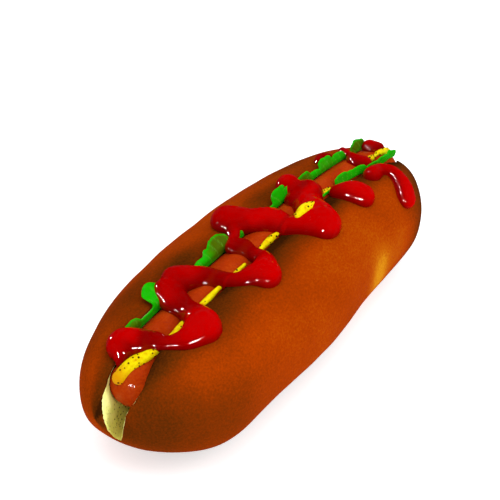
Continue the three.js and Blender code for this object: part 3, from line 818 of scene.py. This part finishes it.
def leaf_lines(side, lobes, rest, xs):
    """Middle lines of the leaf: each from its root by the sausage, over the lip, to the free edge."""
    lip = lip_height(xs, side)
    inset = LEAF_GAP + LEAF_THICKNESS / 2
    wall = slit_wall(xs, lip, side) - inset
    inside = np.clip((sausage_radius(xs) + ROOT_GAP) ** 2 - (wall - LEAF_THICKNESS / 2) ** 2, 0, None)
    root = np.maximum(sausage_height(xs) + np.sqrt(inside), lip - LEAF_TUCK)
    reach, lean, dark_green_and_shade, fan = leaf_edge(lobes, rest, xs)
    share = np.linspace(0, 1, LEAF_STEPS)
    depth = (lip - root)[:, None]
    reach = np.maximum(reach[:, None], LEAF_LEAST - depth)
    s = share * (depth + reach) - depth
    over = np.maximum(s, 0)
    turned = np.sign(lean)[:, None] * np.minimum(over / LEAF_BEND, np.abs(lean)[:, None])
    straight = over - np.abs(turned) * LEAF_BEND
    flutter = FLUTTER * np.sin(xs * 1.9 + 0.7)[:, None] * (over / 5) ** 2
    out = np.sign(turned) * LEAF_BEND * (1 - np.cos(turned)) + straight * np.sin(turned)
    up = LEAF_BEND * np.abs(np.sin(turned)) + straight * np.cos(turned)
    up += flutter * np.abs(np.sin(turned))
    z = lip[:, None] + np.where(s < 0, s, up)
    held = slit_wall(xs[:, None], np.minimum(z, lip[:, None]), side) - inset
    y = slit_middle(xs)[:, None] + side * (np.where(s < 0, held, wall[:, None]) + out)
    return np.stack([xs[:, None] + over * np.sin(fan)[:, None], y, z], -1), share, dark_green_and_shade


def make_leaf(name, side, start, end, rest, lobes):
    xs = np.linspace(start, end, round((end - start) / LEAF_SPACING))
    line, share, dark_green_and_shade = leaf_lines(side, lobes, rest, xs)
    taper = np.clip(np.minimum(xs - start + 0.3, end - xs + 0.3) / 1.5, 0, 1)
    rim = np.interp(np.arange(LEAF_STEPS), [0, LEAF_STEPS - 4, LEAF_STEPS - 1], [1, 0.9, 0.45])
    half = LEAF_THICKNESS / 2 * taper[:, None] * rim
    onward = unit(np.gradient(line, axis=1))
    across = np.stack([0 * half, -onward[..., 2] * half, onward[..., 1] * half], -1)
    rings = np.concatenate([line + across, (line - across)[:, ::-1]], 1)
    # ribs branch from the root and fan out towards the edge
    fan = np.abs(np.sin((xs[:, None] + side * 1.5 * share) * 1.15 + 2 * np.sin(xs[:, None] / 7)))
    rib = np.exp(-((fan / RIB_WIDTH) ** 2)) * (1 - 0.7 * share)
    # painted shade and darker green, strongest a third of the way out, fading at the root and to pale at the
    # free edge
    dark = dark_green_and_shade[:, None] * np.interp(share, [0, 0.35, 0.8, 1], [0.6, 1, 0.9, 0.1])
    piece = loft(name, rings, rings[0].mean(0), rings[-1].mean(0))
    for key, values in (("dark_green_and_shade", dark), ("rib", rib)):
        both_faces = np.concatenate([values, values[:, ::-1]], 1)
        paint(piece, key, np.append(both_faces, [0, 0]))
    piece.data.shade_smooth()
    return piece


# ------ squeezed sauces


def node_group(name, inputs, output):
    """A Geometry Nodes tree with named inputs and one geometry output, and the sockets of its inputs."""
    tree = bpy.data.node_groups.new(name, "GeometryNodeTree")
    for socket, kind in inputs.items():
        tree.interface.new_socket(socket, in_out="INPUT", socket_type="NodeSocket" + kind)
    tree.interface.new_socket(output, in_out="OUTPUT", socket_type="NodeSocketGeometry")
    return tree, add_node(tree, "NodeGroupInput").outputs


def finish_group(tree, output, geometry, finish):
    """Ends a tree: makes its instances real and gives them their material."""
    whole = add_node(tree, "GeometryNodeRealizeInstances", {"Geometry": geometry})
    done = add_node(tree, "GeometryNodeSetMaterial",
                    {"Geometry": whole.outputs["Geometry"], "Material": finish})
    add_node(tree, "NodeGroupOutput", {output: done.outputs["Geometry"]})
    return tree


def sauce_tree():
    """Geometry Nodes: lines with a half-width at each point become one rounded body of sauce."""
    tree, given = node_group(
        "squeezed_sauce",
        {"Line": "Geometry", "Drop spacing": "Float", "Voxel": "Float", "Finish": "Material"}, "Sauce")
    line = add_node(tree, "GeometryNodeMeshToCurve", {"Mesh": given["Line"]})
    fine = add_node(tree, "GeometryNodeResampleCurve",
                    {"Curve": line.outputs["Curve"], "Length": given["Drop spacing"]}, mode="LENGTH")
    drops = add_node(tree, "GeometryNodeCurveToPoints", {"Curve": fine.outputs["Curve"]}, mode="EVALUATED")
    half_width = add_node(tree, "GeometryNodeInputNamedAttribute", {"Name": "half_width"}, data_type="FLOAT")
    volume = add_node(tree, "GeometryNodePointsToVolume",
                      {"Points": drops.outputs["Points"], "Voxel Size": given["Voxel"],
                       "Radius": half_width.outputs["Attribute"]}, resolution_mode="VOXEL_SIZE")
    skin = add_node(tree, "GeometryNodeVolumeToMesh", {"Volume": volume.outputs["Volume"], "Threshold": 0.5})
    return finish_group(tree, "Sauce", skin.outputs["Mesh"], given["Finish"])


def seed_tree():
    """Geometry Nodes: seeds scattered over bodies of mustard, each half sunk in them."""
    tree, given = node_group(
        "scattered_seeds",
        {"Mustard": "Geometry", "Seed size": "Float", "Seed density": "Float", "Finish": "Material"},
        "Seeds")
    spots = add_node(tree, "GeometryNodeDistributePointsOnFaces",
                     {"Mesh": given["Mustard"], "Distance Min": SEED_SPACING * MM,
                      "Density Max": given["Seed density"], "Seed": 5},
                     distribute_method="POISSON")
    hull = add_node(tree, "GeometryNodeMeshIcoSphere", {"Radius": given["Seed size"], "Subdivisions": 2})
    # the random node's float sockets: its range at 2 and 3, its value at 1
    size = add_node(tree, "FunctionNodeRandomValue", {"Seed": 3, 2: SMALLEST_SEED, 3: LARGEST_SEED},
                    data_type="FLOAT")
    seeds = add_node(tree, "GeometryNodeInstanceOnPoints",
                     {"Points": spots.outputs["Points"], "Instance": hull.outputs["Mesh"],
                      "Rotation": spots.outputs["Rotation"], "Scale": size.outputs[1]})
    return finish_group(tree, "Seeds", seeds.outputs["Instances"], given["Finish"])


def give_nodes(piece, tree, values):
    """Adds a Geometry Nodes modifier and sets its inputs by their identifiers."""
    maker = piece.modifiers.new(tree.name, "NODES")
    maker.node_group = tree
    for item in tree.interface.items_tree:
        if item.in_out == "INPUT" and item.name in values:
            maker[item.identifier] = values[item.name]


def through(rows, t):
    """Smooth curve through rows of numbers, at t counted in rows."""
    rows = np.array(rows, float)
    i = min(int(t), len(rows) - 2)
    f = t - i
    a, b, c, d = (rows[min(max(n, 0), len(rows) - 1)] for n in (i - 1, i, i + 1, i + 2))
    slope_b, slope_c, gap = (c - a) / 2, (d - b) / 2, c - b
    curve = f * f * (3 * gap - 2 * slope_b - slope_c)
    return b + f * slope_b + curve + f**3 * (slope_b + slope_c - 2 * gap)


def squeeze_path(rows, settled):
    """Centre points and half-widths of one squeeze; settled lifts it by a share of the half-width."""
    steps = np.linspace(0, len(rows) - 1, (len(rows) - 1) * STROKE_STEPS + 1)
    x, y, half, rise = np.array([through(rows, t) for t in steps]).T
    base = np.stack([x, y, crown_height(x, y)], -1)
    return base + crown_normal(x, y) * (settled * half + rise)[:, None], half


def support(points, under):
    """Height of what carries a sauce at each point: the crust, the sausage in the slit, or other sauces."""
    x, y, _ = points.T
    across = y - sausage_middle(x)
    radius = sausage_radius(x)
    on_sausage = sausage_height(x) + np.sqrt(np.clip(radius**2 - across**2, 0, None))
    on_sausage = np.where(np.abs(across) < radius, on_sausage, 0)
    in_slit = np.abs(across) < slit_half(x)
    height = np.where(in_slit, on_sausage, crown_height(x, y))
    for path, half in under:
        away = np.linalg.norm(points[:, None, :2] - path[None, :, :2], axis=-1)
        top = path[None, :, 2] + np.sqrt(np.clip(half[None, :] ** 2 - away**2, 0, None))
        height = np.maximum(height, np.where(away < half, top, -1e3).max(1))
    return height


def sauce_lines(strokes, settled):
    """The paths of all strokes as one set of points, with their half-widths and the edges between them."""
    paths = [squeeze_path(rows, settled) for rows in strokes]
    edges = []
    start = 0
    for path, _ in paths:
        edges += [(start + i, start + i + 1) for i in range(len(path) - 1)]
        start += len(path)
    return np.concatenate([path for path, _ in paths]), np.concatenate([half for _, half in paths]), edges


def paint_thickness_and_shade(piece, strokes, settled, under):
    """Stores how full a sauce looks, with painted shade in it: thin where it is drawn out over the slit,
    full where it stands high, darker at its low edges partly as painted shade, and painted shade on the side
    that its own folds and the roll shade."""
    skin = points_of(piece)
    x, y, z = skin.T
    floor = support(skin, under) + SAUCE_GAP
    points, half, _ = sauce_lines(strokes, settled)
    away = np.linalg.norm(skin[:, None, :] - points[None, ::3, :], axis=-1) ** 2
    weight = np.exp((away.min(1, keepdims=True) - away) / 8)
    local = (weight * half[None, ::3]).sum(1) / weight.sum(1)
    crossing = bell(y - slit_middle(x), -1, 6) * (1 - ease((local - THIN_HALF) / THIN_FADE))
    crossing *= 1 - 0.65 * ease((x - 46) / 4)
    # darker where it stands low: partly thinner sauce, partly painted shade at its edges
    standing = ease((z - floor) / FULL_STAND)
    # painted shade on the left side of the sauces and in their folds
    shaded = 1 - 0.3 * ease((y - 3) / 7) * (1 - bell(x, 26, 12))
    for at, spread, across, width in FOLD_SHADES:
        shaded *= 1 - 0.6 * bell(x, at, spread) * bell(y, across, width)
    paint(piece, "thickness_and_shade", (1 - 0.85 * crossing) * (0.25 + 0.75 * standing) * shaded)


def make_sauce(name, strokes, finish, body, under=()):
    """One body of sauce round its strokes, laid on the crust, the sausage and the sauces under it."""
    voxel, settled, swell = body
    points, half, edges = sauce_lines(strokes, settled)
    piece = new_piece(name, points, [], edges)
    paint(piece, "half_width", (half + swell) * MM)
    give_nodes(piece, SAUCE, {"Drop spacing": DROP_SPACING * MM, "Voxel": voxel * MM, "Finish": finish})
    even_out(piece, SAUCE_SMOOTHING)
    settle(piece)
    skin = points_of(piece)
    floor = support(skin, under) + SAUCE_GAP
    over_roll = np.abs(skin[:, 1]) < roll_half_width(skin[:, 0], skin[:, 1] >= 0) * 0.995
    skin[:, 2] = np.where(over_roll & (floor > 0), np.maximum(skin[:, 2], floor), skin[:, 2])
    move_points(piece, skin)
    return piece


def make_seeds(name, mustards, finish):
    """Seeds on copies of the mustard bodies, as one piece."""
    joined = bmesh.new()
    for mustard in mustards:
        joined.from_mesh(mustard.data)
    mesh = bpy.data.meshes.new(name)
    joined.to_mesh(mesh)
    joined.free()
    piece = put(name, mesh)
    give_nodes(piece, SEEDS, {"Seed size": SEED_SIZE * MM, "Seed density": SEED_DENSITY, "Finish": finish})
    return settle(piece)


# ------ putting it together


def dress(piece, finish, slot, *nodes):
    """Gives a piece its finish, hangs it on the body, and hides the solids it stands for."""
    piece.data.materials.clear()
    piece.data.materials.append(finish)
    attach(piece, BODY)
    if nodes:
        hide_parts(*nodes)


SAUCE = sauce_tree()
SEEDS = seed_tree()

bread = baked_bread()
casing = sausage_skin()
leaf = lettuce_leaf()
mustard = grain_mustard()
hull = seed_hull()
ketchup = tomato_ketchup()

roll = make_roll()
dress(roll, bread, "bread", "bun")
frankfurter = make_sausage()
dress(frankfurter, casing, "sausage", "sausage")
left_leaf = make_leaf("lettuce_left_leaf", 1, *LEFT_LEAF, LEFT_LOBES)
dress(left_leaf, leaf, "lettuce", "lettuce_left")
right_leaf = make_leaf("lettuce_right_leaf", -1, *RIGHT_LEAF, RIGHT_LOBES)
dress(right_leaf, leaf, "lettuce", "lettuce_right")

mustards = []
for name, stroke, node in (
    ("mustard_near_squeeze", MUSTARD_NEAR, "mustard_near"),
    ("mustard_middle_squeeze", MUSTARD_MIDDLE, "mustard_middle"),
    ("mustard_far_squeeze", MUSTARD_END, "mustard_end"),
    ("mustard_top_dab", MUSTARD_DAB, "mustard_dab"),
):
    mustards.append(make_sauce(name, [stroke], mustard, MUSTARD_BODY))
    dress(mustards[-1], mustard, "mustard", node)
dress(make_seeds("mustard_seeds", mustards, hull), hull, "mustard")

squeezed = {}
carried = [squeeze_path(rows, 0.0) for rows in (MUSTARD_NEAR, MUSTARD_MIDDLE, MUSTARD_END)]
for name, strokes, node in (
    ("ketchup_zigzag_squeeze", KETCHUP_ZIGZAG, "ketchup_zigzag"),
    ("ketchup_large_drop", KETCHUP_DROP, "ketchup_drop"),
    ("ketchup_run", KETCHUP_TAIL, "ketchup_tail"),
    ("ketchup_on_sausage", KETCHUP_CURL, "ketchup_curl"),
    ("ketchup_far_blob", KETCHUP_TIP, "ketchup_tip"),
    ("ketchup_left_squirt", KETCHUP_HOOK, "ketchup_hook"),
):
    squeezed[name] = make_sauce(name, strokes, ketchup, KETCHUP_BODY, carried)
    paint_thickness_and_shade(squeezed[name], strokes, KETCHUP_SETTLED, carried)
    dress(squeezed[name], ketchup, "ketchup", node)

# ------ studio

CAMERA_TURN = -50.6  # degrees
CAMERA_RISE = 43
CAMERA_AWAY = 0.450
CAMERA_AIM = (0, 0, 0.026)
CAMERA_SIDE = CAMERA_TURN + 270  # where the camera stands, in degrees from +X towards +Y
FOOD_MIDDLE = (0, 0, 0.03)
SAUCE_MIDDLE = (0, 0, 0.045)
NEAR_CUT = (-0.076, -0.003, 0.028)
STRIP_AWAY = 0.55
STRIP_THICKNESS = 0.02
SURROUND = 0.72  # strength of the surroundings
SURROUND_MIRRORED = 0.06


def make_floor():
    """A plain white table top."""
    floor = new_piece("floor", [(-4000, -4000, 0), (4000, -4000, 0), (4000, 4000, 0), (-4000, 4000, 0)],
                      [(0, 1, 2, 3)])
    finish, tree, shader, place = new_finish(
        "white_table", {"Roughness": 0.9, "Specular IOR Level": 0.1, "Emission Color": linear("#FFFFFF"),
                        "Emission Strength": 0.5})
    set_colour(tree, shader, ramp(tree, grain(tree, place, 400, 1), [(0.3, "#F7F7F7"), (0.7, "#FCFCFC")]))
    floor.data.materials.append(finish)
    floor.visible_glossy = False


def make_lamp(name, kind, watts, at, aim, gives, pieces=(), **values):
    """A lamp that nobody sees, which gives the food its form or its gloss; one with pieces is flagged off
    from everything else."""
    lamp = bpy.data.lights.new(name, kind)
    lamp.energy = watts
    for key, value in values.items():
        setattr(lamp, key, value)
    stand = put(name, lamp)
    stand.location = at
    stand.rotation_euler = (Vector(aim) - Vector(at)).to_track_quat("-Z", "Y").to_euler()
    stand.visible_camera = False
    stand.visible_diffuse = gives == "form"
    stand.visible_glossy = gives == "gloss"
    if pieces:
        lit = bpy.data.collections.new(name + "_lights")
        for piece in pieces:
            lit.objects.link(piece)
        stand.light_linking.receiver_collection = lit


def make_strip(name, watts, aside, rise, wide, pieces):
    """A thin strip that wet surfaces mirror, some degrees left of the camera and some above the sauces."""
    turn = math.radians(CAMERA_SIDE - aside)
    lift = math.radians(rise)
    out = STRIP_AWAY * math.cos(lift)
    at = (out * math.cos(turn), out * math.sin(turn), SAUCE_MIDDLE[2] + STRIP_AWAY * math.sin(lift))
    make_lamp(name, "AREA", watts, at, SAUCE_MIDDLE, "gloss", pieces,
              shape="RECTANGLE", size=wide, size_y=STRIP_THICKNESS)


def make_camera():
    """Long lens, looking down along the roll from its near right."""
    turn, rise = math.radians(CAMERA_TURN), math.radians(CAMERA_RISE)
    back = Vector((math.sin(turn) * math.cos(rise), -math.cos(turn) * math.cos(rise), math.sin(rise)))
    lens = bpy.data.cameras.new("camera")
    lens.lens = 95.58
    lens.shift_x = -0.0222
    lens.shift_y = 0.0552
    lens.clip_start = 0.01
    lens.clip_end = 20
    camera = put("camera", lens)
    camera.location = Vector(CAMERA_AIM) + back * CAMERA_AWAY
    camera.rotation_euler = (-back).to_track_quat("-Z", "Y").to_euler()
    bpy.context.scene.camera = camera


def make_world():
    """Even white surroundings, dimmer where a wet surface mirrors them."""
    world = bpy.data.worlds.new("studio")
    world.use_nodes = True
    tree = world.node_tree
    seen = add_node(tree, "ShaderNodeLightPath").outputs["Is Glossy Ray"]
    strength = between(tree, seen, 0, 1, SURROUND, SURROUND_MIRRORED)
    surround = tree.nodes["Background"]
    surround.inputs["Color"].default_value = linear("#FFFFFF")
    tree.links.new(strength, surround.inputs["Strength"])
    bpy.context.scene.world = world


make_floor()
make_world()
make_camera()
make_lamp("overhead_box", "AREA", 3.5, (0.05, 0.05, 0.95), FOOD_MIDDLE, "form", size=0.9)
make_lamp("side_box", "AREA", 1.4, (0.20, -0.55, 0.60), FOOD_MIDDLE, "form", size=0.4)
make_lamp("cut_spot", "SPOT", 3.2, (0.06, -0.24, 0.30), NEAR_CUT, "form", [roll],
          spot_size=math.radians(9), spot_blend=0.7, shadow_soft_size=0.03)
moist = [frankfurter, left_leaf, right_leaf, squeezed["ketchup_zigzag_squeeze"]]
drop = [squeezed["ketchup_large_drop"]]
run = [squeezed["ketchup_run"]]
small = [squeezed[name] for name in ("ketchup_on_sausage", "ketchup_far_blob", "ketchup_left_squirt")]
# Strips: watts, degrees left of the camera, degrees up, width in metres, and what each one lights.
for name, watts, aside, rise, wide, pieces in (
    ("low_strip_right", 6, -14, 6, 0.22, moist),
    ("low_strip_middle", 6, 30, 6, 0.22, moist),
    ("low_strip_left", 2, 74, 6, 0.08, moist),
    ("side_strip", 2, 118, 6, 0.08, moist),
    ("drop_strip", 12, 0, 21, 0.25, drop),
    ("drop_strip_left", 5, 40, 21, 0.16, drop),
    ("run_strip_low", 7, 20, 21, 0.25, run),
    ("run_strip_right", 3, 88, 45, 0.12, run),
    ("run_strip_left", 3, 126, 48, 0.12, run),
    ("small_strip_right", 16, 0, 21, 0.25, small),
    ("small_strip", 16, 44, 34, 0.3, small),
    ("small_strip_left", 16, 88, 40, 0.3, small),
):
    make_strip(name, watts, aside, rise, wide, pieces)
bpy.context.scene.view_settings.view_transform = "Standard"
